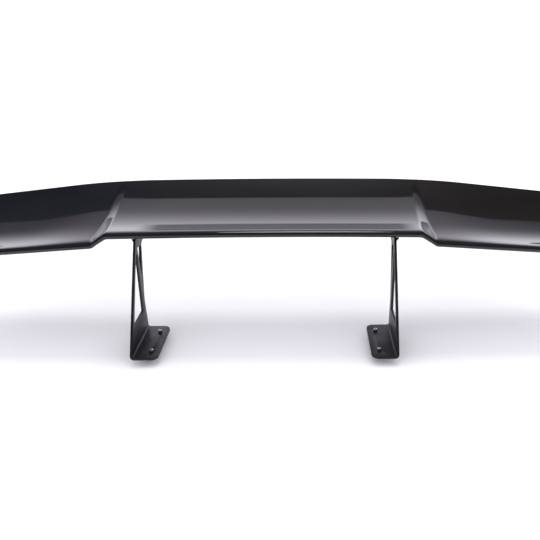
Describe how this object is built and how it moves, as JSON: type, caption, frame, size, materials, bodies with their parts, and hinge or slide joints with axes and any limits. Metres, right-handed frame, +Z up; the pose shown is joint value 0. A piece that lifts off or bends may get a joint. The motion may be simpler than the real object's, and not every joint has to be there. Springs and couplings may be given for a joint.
{
  "type": "racing rear wing",
  "caption": "Stepped wide rear wing on two raked bent-plate stands with triangular windows; the wing tilts about its pivot screws and is clamped in an arc slot.",
  "frame": {"origin": "centre of the four foot screws, on the underside of the two feet", "axes": "+X across the car to the right as seen from the wing's front, +Y rearwards along the air flow, +Z up; the wing is level with its trailing edge high at rest"},
  "size_m": [1.7316, 0.3998, 0.3733],
  "materials": {
    "powder_coat": "satin black powder coat on aluminium plate",
    "zinc_plated_screws": "zinc-plated steel",
    "black_oxide_bolts": "black oxide steel",
    "friction_nylon": "matt black nylon",
    "gloss_skin": "gloss black clear-coated laminate",
    "gloss_end_plate": "gloss black clear-coated laminate",
    "inner_structure": "bare laminate",
    "aluminium_block": "machined",
    "rubber_pad": "moulded, matt",
    "brass_inserts": "turned"
  },
  "bodies": {
    "stands": {"foot_screws_left": "zinc_plated_screws", "foot_screws_right": "zinc_plated_screws", "friction_washer_left": "friction_nylon", "friction_washer_right": "friction_nylon", "pivot_screw_left": "black_oxide_bolts", "pivot_screw_right": "black_oxide_bolts", "stand_plate_left": "powder_coat", "stand_plate_right": "powder_coat"},
    "wing": {"bracket_screws_left": "black_oxide_bolts", "bracket_screws_right": "black_oxide_bolts", "clamp_nut_left": "black_oxide_bolts", "clamp_nut_right": "black_oxide_bolts", "clamp_screw_left": "black_oxide_bolts", "clamp_screw_right": "black_oxide_bolts", "clamp_washers_left": "black_oxide_bolts", "clamp_washers_right": "black_oxide_bolts", "end_plate_left": "gloss_end_plate", "end_plate_right": "gloss_end_plate", "end_plate_screws_left": "black_oxide_bolts", "end_plate_screws_right": "black_oxide_bolts", "front_spar": "inner_structure", "hardpoint_left": "aluminium_block", "hardpoint_right": "aluminium_block", "mounting_pad_left": "rubber_pad", "mounting_pad_right": "rubber_pad", "rear_spar": "inner_structure", "rib_centre": "inner_structure", "rib_mount_left": "inner_structure", "rib_mount_right": "inner_structure", "rib_step_left": "inner_structure", "rib_step_right": "inner_structure", "rib_tip_left": "inner_structure", "rib_tip_right": "inner_structure", "tip_inserts_left": "brass_inserts", "tip_inserts_right": "brass_inserts", "wing_bracket_left": "powder_coat", "wing_bracket_right": "powder_coat", "wing_lower_skin": "gloss_skin", "wing_upper_skin": "gloss_skin"}
  },
  "joints": [
    {"name": "wing_tilt", "type": "hinge", "parent": "stands", "child": "wing", "pos_m": [0, 0.084, 0.255], "axis": [1, 0, 0], "range_deg": [-6, 6]}
  ]
}
